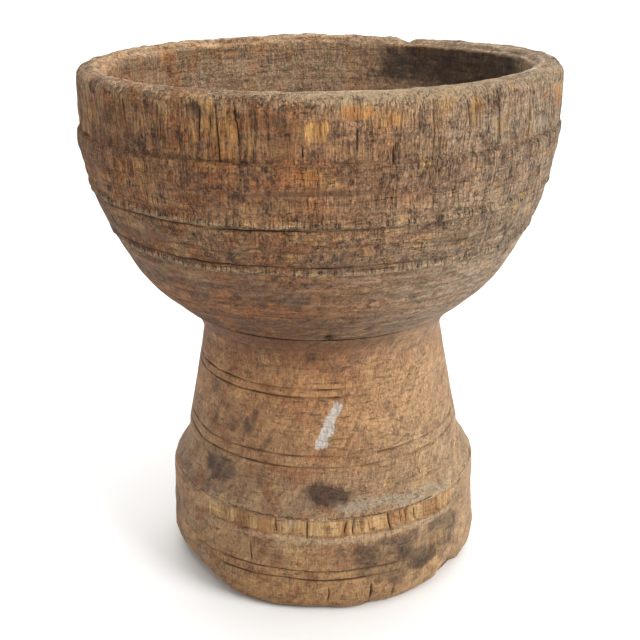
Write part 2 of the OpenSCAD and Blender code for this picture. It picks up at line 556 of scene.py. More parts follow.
# Cracks: turn, foot of the crack, top of the crack, depth. Heights on the bowl are counted
# from the joint and on the pedestal from the floor.
BAND_CRACKS = (
    (-24.2, 62, 70, 0.6), (-20.4, 57, 72, 0.8), (-16.2, 61, 71, 0.7), (-34, 61, 67, 0.3),
    (-3.4, 58, 62, 0.3), (7.6, 60, 66, 0.3), (14.5, 56, 61, 0.5), (22.8, 56, 72, 1.0),
    (31.5, 63, 71, 0.4), (39.5, 58, 69, 0.5), (50, 57, 66, 0.5), (61, 58, 72, 0.5),
    (83, 57, 71, 0.8), (112, 59, 72, 0.6), (141, 56, 70, 0.9), (176, 58, 71, 0.6),
    (-152, 57, 72, 0.8), (-118, 58, 70, 0.6), (-84, 57, 71, 0.6),
)
BAND_TICKS = (
    (-38.5, 27, 32, 0.9), (-17.5, 27, 32, 0.6), (-6.2, 26.5, 32.3, 1.1), (7.8, 27, 32, 0.8),
    (10.7, 27, 32, 0.6), (16, 27, 31, 0.6), (23.8, 26, 32, 1.4), (28.5, 27, 32, 0.8),
    (31, 27, 32, 0.8), (34.8, 27, 32, 0.8), (45.5, 26, 32.3, 1.3),
)
FOOT_CRACKS = (
    (-27, 16, 23, 0.8), (1, 3, 10, 0.6), (16, 3, 10, 0.8), (24.6, 2, 7, 1.0),
    (74, 4, 17, 0.8), (104, 8, 31, 1.1), (138, 3, 13, 0.7), (171, 12, 30, 0.9),
    (-146, 4, 20, 1.0), (-112, 14, 31, 0.8), (-78, 3, 14, 0.7),
)

# Areas of wear: left turn, right turn, bottom, top, strength
BAND_BARE = (
    (-31, -12, 55, 73, 0.42), (-24.5, -20.8, 61, 71, 0.6), (-20, -15.4, 60, 71, 0.7),
    (-3, 2.4, 61.5, 68, 0.75), (3, 12, 67.5, 73, 0.7), (9, 19, 65.5, 71.5, 0.6),
    (17, 27, 63, 69.5, 0.45),
    (31.5, 37, 64.5, 72, 0.6), (2, 40, 62, 73, 0.2), (-5.5, 0.5, 52, 57, 0.85),
    (-12, 20, 46, 57, 0.22), (-52, -34, 46, 56, 0.5), (-45, -35, 0.5, 4, 0.6),
    (9, 15, 53, 56, 0.4), (-63, -54, 59, 67, 0.45), (-42, -34, 60, 70, 0.3), (44, 54, 50, 56, 0.35),
    (66, 75, 62, 71, 0.7), (96, 103, 58, 66, 0.6),
    (125, 134, 64, 72, 0.8), (150, 156, 60, 68, 0.6), (-172, -160, 65, 72, 0.8),
    (-138, -130, 59, 67, 0.6), (-104, -94, 63, 71, 0.8), (110, 126, 46, 54, 0.5),
    (-150, -128, 45, 53, 0.5), (160, 172, 30, 38, 0.5), (-98, -86, 24, 33, 0.5),
)
BOWL_STAIN = (
    (-27, -23.4, 66, 72, 0.9), (9.2, 11.2, 54, 56.6, 0.8), (1.2, 3.8, -1, 2.6, 1.0),
    (-60, -44, 24, 30, 0.5), (20, 26, 47, 53, 0.3), (70, 84, 50, 60, 0.5),
    (140, 160, 40, 52, 0.6), (-125, -105, 30, 44, 0.5), (-14, -4, 58, 71, 0.4),
    (-56, -40, 58, 70, 0.35), (3, 13, 57.5, 62, 0.4), (28, 46, 63, 70, 0.35),
    (-45, -22, 46, 54, 0.35), (16, 34, 48, 55, 0.35), (-30, -8, 20, 27, 0.3),
    (16, 36, 17, 27, 0.35), (-66, -50, 30, 42, 0.35), (24, 42, 31, 38, 0.4),
)
BOWL_DUST = (
    (22, 52, 58, 67, 0.5), (50, 64, 59, 64, 0.8), (28, 58, 43, 48, 0.5), (-36, -34, 27, 29, 0.9),
    (-15.6, -14.4, 23.4, 24.6, 0.9), (12, 14, 21, 23, 0.9), (15.4, 16.8, 30.4, 31.6, 0.9),
    (43, 57, 49, 57, 0.45), (15, 45, 56.6, 57.6, 0.6), (100, 130, 36, 46, 0.4),
    (-178, -158, 50, 58, 0.5),
)
STEM_BARE = (
    (22, 30, 38, 44, 0.6), (38, 49, 13.5, 21.5, 0.7), (24.5, 27.5, 17.5, 21, 0.6),
    (28, 50, 3, 10, 0.4), (-30, 14, 2, 11, 0.35), (96, 110, 6, 17, 0.6),
    (150, 164, 10, 22, 0.6), (-140, -124, 5, 16, 0.6), (116, 130, 50, 64, 0.4),
    (-120, -106, 60, 74, 0.4),
)
STEM_STAIN = (
    (-9, -2.5, 77.5, 84, 0.7), (-22, -16, 74, 77.5, 0.6), (-48, -28, 53.5, 63, 0.55),
    (-37, -30, 55.5, 59.6, 0.85), (-53, -48.5, 54, 64, 0.6), (-33, -17, 59.5, 67, 0.5),
    (-34, -9, 50.8, 54.6, 0.65), (-56, -36, 37, 46, 0.85), (-36, -22, 37, 44, 0.45),
    (-9, 12, 35.6, 42.6, 0.85), (2, 9, 37, 41, 0.5), (24, 34, 37, 43, 0.45),
    (23.5, 29, 5, 13, 0.75), (7, 57, 9.5, 25.5, 0.72), (18, 38, 16, 25, 0.85),
    (29, 42, 9, 17, 0.85), (10, 18, 11, 18, 0.7), (47, 58, 15, 25, 0.8),
    (2, 9, 15.5, 22.5, 0.6), (-36, 34, 80.5, 91, 0.42), (-6, 6, 58, 66, 0.3),
    (-50, -40, 60, 70, 0.4), (-28, -14, 16, 26, 0.35),
    (86, 102, 40, 52, 0.6), (130, 150, 58, 70, 0.5), (-170, -150, 38, 48, 0.7),
    (-110, -92, 50, 60, 0.5), (-90, -70, 12, 24, 0.5), (170, 186, 8, 20, 0.4),
)
STEM_DUST = (
    (-6, 62, 33, 37.2, 0.9), (3, 24, 33.2, 36.5, 1.0), (-54, -46, 6.5, 12.5, 0.8),
    (-43, -30, 6.5, 11, 0.5), (-23, -11, 19.5, 25, 0.5), (-30, 30, 24, 27, 0.6),
    (-14, -8.2, 27.4, 32.2, 0.75), (10.5, 13.5, 69, 70.2, 0.8), (8, 9.2, 69, 70, 0.8),
    (80, 120, 33.2, 36, 0.5), (-160, -120, 33, 36, 0.6), (140, 170, 24, 27, 0.5),
)

# Worn patches inside the bowl: left turn, right turn, depth below the crest, strength
HOLLOW_BARE = (
    (-230, -200, 10, 0.8), (-180, -166, 8, 0.5), (-128, -120, 6, 0.6), (196, 206, 7, 0.5),
)

# Drying checks under the foot: turn, inner start, inner full, outer full, outer end
UNDER_CHECKS = (
    (-150, 5, 14, 28, 45), (-71, 9, 17, 28, 39), (22, 13, 20, 28, 33), (118, 17, 23, 28, 45),
)


def wear_areas(surface, name, areas, base, depth, ragged, seed):
    """Marks each area, and takes wood off it where a depth is given."""
    for i, (left, right, low, high, strength) in enumerate(areas):
        area = surface.patch(left, right, base + low, base + high, ragged, seed + 2 * i)
        surface.mark(name, strength * area)
        surface.carve(depth * strength * area)


def wear_bowl(surface):
    """Wears the rim, the banded side and the hollow, and paints highlights on the rim's inner edge,
    the beads and the girth step and a shadow inside at the right.
    """
    z, turn, r = surface.z, surface.turn, surface.line_r
    run = surface.run
    crest_run = run[surface.line_z > crest_z - 0.05].mean()
    inside = eased(run, crest_run + rim_w * 0.35, crest_run + rim_w * 0.75)
    surface.mark("hollow", inside)
    outer = (run < crest_run) & (z > joint_z + 0.01)

    # The rim has worn down unevenly, most at the back on the right
    top = eased(surface.line_z, crest_z - 6, crest_z - 0.5)
    back_right = near(turn - 140, 34)
    low_spots = 0.25 + 0.9 * weave(turn, z * 0, 14, 1.0, 11)
    low_spots = low_spots + 0.22 * weave(turn, z * 0, 60, 1.0, 12)
    drop = top * (low_spots * 0.4 + back_right)
    surface.z = surface.z - drop
    facing = eased(np.abs(surface.away(16)), 34, 16)
    surface.mark("worn", top * (0.08 + 0.75 * facing + 0.4 * weave(turn, run, 40, 2.5, 13)))
    notch_turn, notch_depth = 152, 1.6
    notch = near(surface.away(notch_turn), 2.2) * eased(surface.line_z, crest_z - 2.5, crest_z)
    surface.z = surface.z - notch_depth * notch
    surface.mark("stain_and_shadow", 0.8 * notch)

    # The rim's outer shoulder is frayed where the fibres end; its inner edge is crisp in front, with
    # a painted highlight along it there
    shoulder = near(run - crest_run + rim_w * 0.52, 2.4)
    frayed = weave(turn, z * 0, 170, 1.0, 14) + 0.6 * weave(turn, z * 0, 340, 1.0, 15)
    smooth_side = 0.3 + 0.7 * eased(np.abs(surface.away(-88)), 28, 45)
    surface.carve(shoulder * smooth_side * (0.7 * frayed - 0.3))
    arris = near(run - crest_run - rim_w * 0.42, 1.1)
    softened = eased(np.abs(surface.away(9)), 58, 80)
    surface.carve(arris * (0.55 * softened + 0.25 * weave(turn, z * 0, 120, 1.0, 16)))
    # A painted highlight on the crisp front of the inner edge, laid on with the dust mark.
    surface.mark("dust_and_highlight", 0.8 * arris * (1 - softened))
    surface.carve(0.35 * top * (weave(turn, run, 150, 1.6, 17) - 0.5))

    # Furrows between the fibres, deepest on the rim band
    band = eased(z, girth_z - 1, girth_z + 3) * outer
    below = eased(z, beads[0] - 3, beads[0] + 1) * outer * (1 - band)
    fibre = 0.6 * weave(turn, z, 200, 11.0, 18) + 0.4 * weave(turn, z, 400, 6.0, 19)
    surface.carve((0.75 * band + 0.42 * below + 0.14 * outer) * (fibre - 0.45))
    lumps = weave(turn, z, 34, 9.0, 20) + 0.5 * weave(turn, z, 80, 4.5, 21)
    surface.carve((0.45 * band + 0.5 * below + 0.22 * outer) * (lumps - 0.75))

    # The side is a little fuller low down and a little flatter on the right above the beads
    full_z, flat_z = joint_z + 12, joint_z + 36
    surface.carve(-0.9 * outer * near(z - full_z, 8))
    surface.carve(0.6 * outer * near(z - flat_z, 9) * eased(turn, 40, 75))

    # Low wavy ridges where the growth rings meet the curving side
    sway = z + 2.4 * weave(turn, z, 18, 16.0, 46) + 1.2 * weave(turn, z, 46, 8.0, 47)
    ridges = weave(turn, sway, 7, 2.1, 48)
    low_side = outer - band - below
    surface.carve((0.6 * below + 0.25 * low_side) * (ridges - 0.5))
    surface.mark("cut", 0.62 * (below + 0.5 * low_side) * eased(ridges, 0.74, 0.95))
    coarse = 0.3 + 0.5 * eased(z, beads[0] - 2, beads[0] + 3) + 0.2 * eased(z, beads[1], girth_z)
    surface.mark("open", np.where(outer, coarse, 0.32))
    surface.mark("wavy", np.where(outer, 0.45 + 0.55 * eased(z, joint_z + 20, joint_z + 28), 0.5)
                 * (1 - band))

    # The broken step at the girth
    edge = girth_z + 0.7 + 0.9 * (weave(turn, z * 0, 110, 1.0, 22) - 0.5)
    step = np.clip(1 - np.abs(z - edge) / 0.6, 0, 1) * outer
    held = 0.3 + 0.9 * weave(turn, z * 0, 44, 1.0, 23)
    surface.carve(0.7 * step * held)
    surface.mark("cut", 0.75 * step * held)
    # A painted highlight just above the step's edge, on the right only.
    surface.mark("worn", 0.7 * outer * near(z - edge - 1.1, 0.7) * eased(turn, 5, 25))

    # Beads, the lines beside them and the fine lines low on the bowl
    for level, seed in zip(beads, (24, 27)):
        surface.bead(level, 0.7, bead_w / 2, seed)
    left_side = 0.45 + 0.55 * eased(turn, 40, 0)
    surface.score(beads[1] - 1.5, 0.5, left_side * outer, seed=30)
    surface.score(beads[1] + 1.6, 0.35, 0.6 * outer, seed=32)
    surface.score(beads[0] + 1.6, 0.5, left_side * outer, seed=34)
    surface.score(beads[0] - 1.5, 0.3, 0.5 * outer, seed=36)
    surface.score(ring_line, 0.35, 0.7 * eased(turn, 40, 15) * outer, seed=38)
    surface.mark("worn", 0.4 * near(z - ring_line + 1, 0.8) * outer)

    # The joint's open crevice, with a pit beside it
    crevice = eased(z, joint_z + 1.1, joint_z) * (r > collar_r - 0.6)
    open_w = 0.35 + 0.8 * weave(turn, z * 0, 40, 1.0, 39)
    surface.carve(0.18 * crevice * open_w)
    surface.mark("cut", 0.12 * crevice * open_w * (r > collar_r - 0.3))
    pit = surface.patch(0.6, 4.6, joint_z - 1, joint_z + 3.2, 0.4, 41)
    surface.carve(1.3 * pit * outer)
    surface.mark("cut", pit * outer)

    for i, (split_turn, low, high, depth) in enumerate(BAND_CRACKS):
        surface.split(split_turn, joint_z + low, joint_z + high, depth * outer, seed=50 + i,
                      strength=outer)
    wear_areas(surface, "bare", BAND_BARE, joint_z, 0.5 * outer, 1.0, 90)
    wear_areas(surface, "stain_and_shadow", BOWL_STAIN, joint_z, 0.15 * outer, 1.0, 150)
    wear_areas(surface, "dust_and_highlight", BOWL_DUST, joint_z, 0.0, 1.0, 190)
    for name in ("bare", "stain_and_shadow", "dust_and_highlight"):
        surface.marks[name] *= 1 - inside

    # Inside, faint turning rings, worn patches below the rim and a dark patch at the right, partly
    # stain and partly painted shadow
    rings = weave(turn * 0, run, 4, 2.6, 230) + 0.5 * weave(turn, run, 30, 1.3, 231)
    surface.carve(inside * 0.3 * (rings - 0.7))
    surface.carve(inside * 0.7 * (weave(turn, run, 22, 12.0, 232) - 0.5))
    wall = inside * eased(z, crest_z - 9, crest_z - 5)
    for i, (left, right, deep, strength) in enumerate(HOLLOW_BARE):
        area = surface.patch(left, right, crest_z - deep, crest_z - 0.5, 1.0, 234 + 2 * i)
        surface.mark("bare", 0.7 * strength * area * wall)
    # A dark patch on the inner wall at the right: partly stain, partly painted shadow inside the
    # bowl.
    stain_and_painted_shadow = eased(np.abs(surface.away(131)), 37, 22) * eased(z, crest_z - 19, crest_z - 13)
    stain_and_painted_shadow *= eased(z, crest_z - 1.5, crest_z - 4)
    surface.mark("stain_and_shadow", 1.1 * stain_and_painted_shadow * inside)
    surface.mark("dust_and_highlight", 0.6 * inside * surface.patch(166, 230, crest_z - 24, crest_z - 5, 1.0, 246))


def wear_pedestal(surface):
    """Wears the foot, the ledge and its split strip, the stem and the underside; the ledge's pale
    edge is partly a painted highlight.
    """
    z, turn, r = surface.z, surface.turn, surface.line_r
    outer = ((r > tenon_r + 8) & (z > 0.01)).astype(float)
    left_side = 0.4 + 0.6 * eased(turn, 25, 5)
    drum = outer * eased(z, foot_h + 0.6, foot_h - 0.4)
    stem = outer - drum

    surface.mark("open", outer)
    surface.mark("wavy", outer)

    # Furrows and dents
    fibre = 0.6 * weave(turn, z, 190, 12.0, 301) + 0.4 * weave(turn, z, 380, 6.0, 302)
    surface.carve((0.38 * drum + 0.14 * stem) * (fibre - 0.45))
    lumps = weave(turn, z, 26, 9.0, 303) + 0.5 * weave(turn, z, 60, 4.0, 304)
    surface.carve((0.5 * drum + 0.3 * stem) * (lumps - 0.75))

    # The heel is rubbed round on the left, and less so and chipped on the right
    heel = outer * eased(z, 16, 1)
    rubbed, rubbed_less = near(surface.away(-58), 30), near(surface.away(54), 15)
    widest_r = foot_r + 0.3
    for inward, upward, strength in ((3.4, 15, rubbed), (8.5, 7.5, rubbed), (5.0, 5.5, rubbed_less)):
        surface.flatten(widest_r, inward, upward, strength)
    chip = surface.patch(46, 62, -2, 6.5, 1.0, 306) + surface.patch(150, 168, -2, 5, 1.0, 308)
    surface.carve(1.2 * chip * outer)
    surface.carve(0.8 * heel * (1 - 0.75 * rubbed) * (weave(turn, z, 40, 5.0, 309) - 0.4))

    # A strip of fresh wood has split away under the ledge
    strip_low, strip_high = strip_edges[0] + 0.2, foot_h - 0.4
    low = strip_low + 1.4 * (weave(turn, z * 0, 70, 1.0, 310) - 0.5)
    high = strip_high + 0.4 * (weave(turn, z * 0, 50, 1.0, 311) - 0.5)
    strip = eased(z, low - 0.35, low + 0.35) * eased(z, high + 0.2, high - 1.0) * outer
    reach = eased(turn, -52, -40) * eased(turn, 60, 48)
    reach = np.maximum(reach, eased(np.abs(surface.away(170)), 26, 14))
    facet = 0.55 + 0.7 * weave(turn, z * 0, 84, 1.0, 312)
    surface.carve(0.95 * strip * reach * facet)
    surface.mark("bare", strip * reach)
    surface.mark("ticks", 0.38 * strip * reach)
    lip = outer * near(z - low + 1.4, 1.5) * reach
    surface.carve(-0.35 * lip * (0.4 + weave(turn, z * 0, 60, 1.0, 313)))
    surface.mark("worn", 0.8 * lip)
    # The ledge's pale edge is partly worn and partly a painted highlight.
    ledge = outer * near(z - foot_h, 0.8)
    surface.carve(0.7 * ledge * weave(turn, z * 0, 80, 1.0, 314))
    surface.mark("worn", ledge * (0.5 + 0.5 * weave(turn, z * 0, 60, 1.0, 315)))

    # Scored lines
    for i, level in enumerate(foot_lines):
        facing = eased(np.abs(surface.away(-8)), 46, 24)
        surface.score(level, 0.5, (0.9 * facing + 0.25) * outer, seed=320 + 2 * i)
    for i, level in enumerate(low_lines):
        surface.score(level, 0.5, (0.75 + 0.25 * left_side) * outer, seed=325 + 2 * i)
    for i, level in enumerate(top_lines):
        surface.score(level, 0.45, (0.15 + 0.85 * left_side) * outer, seed=330 + 2 * i)
    surface.score(collar_line, 0.3, 0.65 * left_side * outer, 0.8, seed=335)
    for i, level in enumerate((foot_h + 3.2, foot_h + 4.6)):
        surface.score(level, 0.4, 0.8 * eased(np.abs(surface.away(-35)), 26, 12) * outer,
                      seed=337 + 2 * i)

    # The long slanted scar, and a scratch above it
    low, high = 52.5, 67.0
    along = np.clip((z - low) / (high - low), 0, 1)
    degree = r * math.pi / 180
    off = surface.away(-2 + 9 * along) * degree / (2.4 - 0.9 * along)
    ends = eased(z, low - 1.1, low + 1.5) * eased(z, high + 1.6, high - 1.5)
    off += 0.7 * (weave(turn, z, 150, 1.2, 340) - 0.5)
    scar = eased(np.abs(off), 1.6, 0.3) * ends
    surface.carve(0.6 * scar * (0.6 + 0.6 * weave(turn, z, 150, 3.0, 341)))
    surface.mark("scar", scar * outer)
    low, high = 77, 83
    along = np.clip((z - low) / (high - low), 0, 1)
    scratch = eased(np.abs(surface.away(18 + 4 * along)) * degree, 0.6, 0.1)
    scratch *= eased(z, low - 0.5, low + 0.5) * eased(z, high + 1, high - 0.5)
    surface.carve(0.3 * scratch * outer)
    surface.mark("cut", 0.6 * scratch * outer)

    # The open crevice at the joint
    crevice = eased(z, joint_z - 0.9, joint_z) * (r > collar_r - 1.5)
    surface.carve(0.12 * crevice * (0.3 + 0.8 * weave(turn, z * 0, 40, 1.0, 345)))
    surface.mark("cut", 0.08 * crevice)

    for i, (split_turn, low, high, depth) in enumerate(BAND_TICKS + FOOT_CRACKS):
        surface.split(split_turn, low, high, depth * outer, wide=0.36, strength=0.85 * outer,
                      seed=350 + 2 * i)
    wear_areas(surface, "bare", STEM_BARE, 0, 0.3 * outer, 1.0, 400)
    wear_areas(surface, "stain_and_shadow", STEM_STAIN, 0, 0.12 * outer, 1.2, 440)
    wear_areas(surface, "dust_and_highlight", STEM_DUST, 0, 0.0, 1.0, 500)

    # Underneath: shallow turning rings and radial checks
    under = ((z < 0.01) & (surface.out_z < -0.5)).astype(float)
    ring_gap = 5.2
    rings = 0.5 + 0.5 * np.cos(r * 2 * math.pi / ring_gap)
    shy = eased(r, foot_r - heel_in - 1, foot_r - heel_in - 5)
    surface.carve(under * shy * (0.5 + 0.25 * rings + 0.3 * weave(turn, r, 30, 4.0, 560)))
    for check, start, full, fading, end in UNDER_CHECKS:
        gap = eased(np.abs(surface.away(check)) * degree, 0.9, 0.15)
        length = eased(r, start, full) * eased(r, end, fading)
        surface.carve(under * gap * length * 0.8)
        surface.mark("cut", under * gap * length)


# ---------------------------------------------------------------------------------------
# Finishes
# ---------------------------------------------------------------------------------------
def tone(red, green, blue):
    """A colour matched to a paint card (0 to 255), as light works with it."""
    shares = [level / 255 for level in (red, green, blue)]
    return tuple(share / 12.92 if share < 0.0404 else ((share + 0.055) / 1.055) ** 2.4
                 for share in shares)


class Finish(Maker):
    """A material whose pattern is fixed to its piece, measured in millimetres."""

    def __init__(self, name):
        self.material = bpy.data.materials.new(name)
        self.material.use_nodes = True
        super().__init__(self.material.node_tree)
        self.shader = self.tree.nodes["Principled BSDF"]
        place = self.add("ShaderNodeTexCoord", out="Object")
        self.place = self.add("ShaderNodeVectorMath", {0: place, "Scale": 1 / MM},
                              operation="SCALE")
        x = self.add("ShaderNodeSeparateXYZ", {0: self.place}, out="X")
        y = self.add("ShaderNodeSeparateXYZ", {0: self.place}, out="Y")
        self.height = self.add("ShaderNodeSeparateXYZ", {0: self.place}, out="Z")
        self.side = x / (x * x + y * y + 1.0).math("SQRT")

    def grain(self, fineness, stretch=(1, 1, 1), seed=0, detail=3.0, roughness=0.55, bend=0.0):
        """Noise with this many cells to the millimetre, stretched along each axis."""
        place = self.add("ShaderNodeVectorMath",
                         {0: self.place, 1: stretch, 2: (seed * 13.7, seed * 7.3, seed * 3.1)},
                         operation="MULTIPLY_ADD")
        return self.add("ShaderNodeTexNoise",
                        {"Vector": place, "Scale": fineness, "Detail": detail,
                         "Roughness": roughness, "Distortion": bend})

    def crossing(self, noise, width):
        """1 along the thin lines where the noise passes its middle value."""
        return (noise - 0.5).size().between(width, width * 0.2)

    def mark(self, name):
        """How much of this mark the piece's points keep, from 0 to 1."""
        return self.add("ShaderNodeAttribute", out="Fac", attribute_name=name)

    def mix(self, amount, under, over):
        """One colour laid over another."""
        return self.add("ShaderNodeMix", {0: amount, 6: under, 7: over}, out=2, data_type="RGBA")

    def lit(self, colour, amount):
        """The colour made lighter or darker."""
        return self.add("ShaderNodeVectorMath", {0: colour, "Scale": amount}, operation="SCALE")

    def put(self, socket, value):
        if socket.type == "RGBA" and isinstance(value, tuple):
            value = (*value[:3], 1.0)
        super().put(socket, value)


class OldWood(Finish):
    """Dry turned wood: its fibres, its growth and the marks kept on its points."""

    def __init__(self, name, looks):
        super().__init__(name)
        self.looks = looks
        self.fibre = self.grain(0.95, (1, 1, 0.085), 1, 5.0, 0.7)
        self.hair = self.grain(2.6, (1, 1, 0.07), 2, 3.0, 0.65)
        self.streak = self.grain(0.3, (1, 1, 0.2), 3, 4.0, 0.6)
        self.cloud = self.grain(0.045, (1, 1, 1), 4, 4.0, 0.6)
        self.mottle = self.grain(0.11, (1, 1, 1.3), 5, 6.0, 0.72, 0.4)
        self.patchy = self.grain(0.16, (1, 1, 1), 8, 5.0, 0.7)
        self.tooling = self.grain(0.8, (0.08, 0.08, 1), 6, 4.0, 0.65)
        self.crumb = self.grain(1.5, (1, 1, 0.8), 7, 3.0, 0.75)
        self.fibrous = self.patchy.between(0.4, 0.58)
        self.opened = self.mark("open")
        self.dust_and_highlight = (self.mark("dust_and_highlight") + (self.crumb - 0.5) * 1.5).between(0.3, 1.15)
        self.late = self.late_wood()

    def late_wood(self):
        """The dark part of each growth ring, round a pith that lies off the axis."""
        pith = self.add("ShaderNodeVectorMath", {0: self.place, 1: (-9.0, 14.0, 0.0)},
                        operation="ADD")
        flat = self.add("ShaderNodeVectorMath", {0: pith, 1: (1.0, 1.0, 0.02)},
                        operation="MULTIPLY")
        reach = self.add("ShaderNodeVectorMath", {0: flat}, out="Value", operation="LENGTH")
        growth = ((reach + self.cloud * 16.0 + self.streak * 3.0) / 2.1).math("FRACT")
        return growth.between(0.4, 0.88) * growth.between(1.0, 0.92)

    def scuffs(self):
        """Rubbed streaks that run up to the right across the grain."""
        across = self.add("ShaderNodeVectorMath", {0: self.place, 1: (0.86, 0.2, -0.5)},
                          out="Value", operation="DOT_PRODUCT")
        along = self.add("ShaderNodeVectorMath", {0: self.place, 1: (0.05, 0.0, 0.08)},
                         out="Value", operation="DOT_PRODUCT")
        slanted = self.add("ShaderNodeCombineXYZ", {"X": across, "Y": along})
        return self.add("ShaderNodeTexNoise", {"Vector": slanted, "Scale": 0.6, "Detail": 4.0,
                                               "Roughness": 0.7})

    def ground(self, tones):
        """Colour by height with soft uneven borders, a paler and greyer right side that is partly
        the wood's own greying and partly painted light, and paler, warmer and darker patches.
        """
        looks = self.looks
        low, high = tones[0][0], tones[-1][0]
        level = self.height + (self.cloud - 0.5) * 9.0 + (self.streak - 0.5) * 9.0
        stops = [((z - low) / (high - low), colour) for z, colour in tones]
        colour = self.add("ShaderNodeValToRGB", {0: ((level - low) / (high - low)).clipped()},
                          stops=stops)
        # Paler and greyer toward the right, and less warm there: partly the wood's own greying,
        # partly painted light from the lamp at the right.
        greyed_and_lit_right = (self.side + (self.mottle - 0.5) * 1.2).between(-0.2, 0.8)
        colour = self.mix(greyed_and_lit_right * looks["greying_and_painted_light"], colour, looks["pale"])
        warmth = self.mottle.between(0.46, 0.6) * (1.0 - greyed_and_lit_right * 0.6)
        warmth = warmth * (self.opened * 0.5 + 0.5) * looks["warmth"]
        colour = self.mix(warmth, colour, looks["warm"])
        gilding = self.patchy.between(0.52, 0.64) * (self.opened * 0.8 + 0.2)
        colour = self.mix(gilding * looks["gilding"], colour, looks["gold"])
        shading = self.patchy.between(0.46, 0.34) * looks["shading"]
        colour = self.mix(shading, colour, looks["deep"])
        inner = self.mark("hollow") * self.streak.between(0.35, 0.6) * 0.6
        return self.mix(inner, colour, looks["inner"])

    def grained(self, colour):
        """Fibres, tool marks, growth rings and pale flecks over the ground colour."""
        looks = self.looks
        coarse = ((self.fibre - 0.5) * looks["fibre"]
                  + (self.hair - 0.5) * looks["hair"] * (self.fibrous * 0.8 + 0.4)
                  + (self.crumb - 0.5) * looks["crumb"] * (1.4 - self.fibrous * 0.6))
        value = (1.0 + coarse * self.opened
                 + (self.tooling - 0.5) * (2.2 - self.opened) * looks["tooling"]
                 + (self.scuffs() - 0.5) * looks["scuffs"])
        colour = self.lit(colour, value.most(0.2))
        under = self.height.between(0.7, 0.2)
        rings = self.late * (under * 0.6 + looks["rings"])
        colour = self.mix(rings, colour, self.lit(colour, 0.5))
        flecks = self.hair.between(0.55, 0.68) * self.fibre.between(0.5, 0.6)
        flecks = flecks * self.mottle.between(0.42, 0.6) * self.opened * looks["flecks"]
        return self.mix(flecks, colour, looks["bare"])

    def marked(self, colour):
        """The marks kept on the points, each broken up along the fibres."""
        looks = self.looks
        torn = (self.fibre - 0.5) * 1.3 + (self.hair - 0.5) * 0.9 + (self.patchy - 0.5) * 0.9
        bare = (self.mark("bare") * 1.15 + torn).between(0.36, 0.95)
        bare_tone = self.mix(self.streak.between(0.4, 0.62), looks["bare"], looks["bare_deep"])
        bare_tone = self.lit(bare_tone, (0.1 + self.hair + self.fibre * 0.8).most(0.2))
        colour = self.mix(bare * 0.88, colour, bare_tone)
        # Stains, and the painted shadow inside the bowl at the right, darkened toward a smoky brown.
        smoke_and_shadow = (self.mark("stain_and_shadow") * 0.95 + (self.patchy - 0.5) * 1.5 + (self.crumb - 0.5) * 0.8
                 + (self.hair - 0.5) * 0.6 + (self.mottle - 0.5) * 1.3)
        smoked_and_shaded = self.mix(0.5, self.lit(colour, 0.26), tone(62, 50, 47))
        colour = self.mix(smoke_and_shadow.between(0.22, 1.05) * 0.92, colour, smoked_and_shaded)
        # Rubbed wear, and on the beads, the girth step and the ledge's edge partly a painted
        # highlight, in the rubbed colour.
        worn = self.mark("worn") + (self.crumb - 0.5) * 1.4 + (self.patchy - 0.5)
        colour = self.mix(worn.between(0.35, 1.1) * 0.72, colour, looks["rubbed"])
        # Dust, and a painted highlight on the front of the rim's inner edge.
        colour = self.mix(self.dust_and_highlight * 0.62, colour, tone(186, 172, 148))
        scar = self.mark("scar") + (self.crumb - 0.5) * 0.9 + (self.hair - 0.5) * 0.5
        scar_tone = self.lit(tone(208, 200, 190), 0.55 + self.crumb * 0.9)
        return self.mix(scar.between(0.3, 0.85) * 0.85, colour, scar_tone)

    def gaps(self):
        """Open cracks, pits and the dirt in every cut, 1 where they are darkest."""
        looks = self.looks
        split = self.crossing(self.grain(0.5, (1, 1, 0.07), 21, 3.0, 0.6), 0.034)
        crackle = self.crossing(self.grain(0.3, (1, 1, 1.5), 22, 4.0, 0.6), 0.014)
        wave = self.crossing(self.grain(0.42, (0.13, 0.13, 1), 23, 4.0, 0.65, 0.5), 0.022)
        lines = (split * looks["splits"] * self.opened * self.streak.between(0.38, 0.56)
                 + crackle * looks["crackle"] * self.mottle.between(0.4, 0.56)
                 + wave * looks["waves"] * self.patchy.between(0.42, 0.58) * self.mark("wavy"))
        checks = (self.hair.between(0.42, 0.34) * self.streak.between(0.42, 0.6) * self.opened
                  * (self.fibrous * 0.8 + 0.2) * looks["checks"])
        dashes = self.grain(0.55, (0.35, 0.35, 1.7), 9, 4.0, 0.7).between(0.4, 0.32)
        pits = self.crumb.between(0.36, 0.28) * self.opened * looks["pits"]
        pits = (pits + dashes * looks["dashes"]).clipped()
        nicks = self.grain(1.2, (1, 1, 0.03), 11, 3.0, 0.7).between(0.47, 0.4)
        nicks = nicks * self.mark("ticks") * 0.65
        cut = self.mark("cut") + (self.crumb - 0.5) * 0.8 + (self.hair - 0.5) * 0.6
        return (checks + pits + nicks + lines).clipped().most(cut.between(0.25, 0.95) * 0.88)


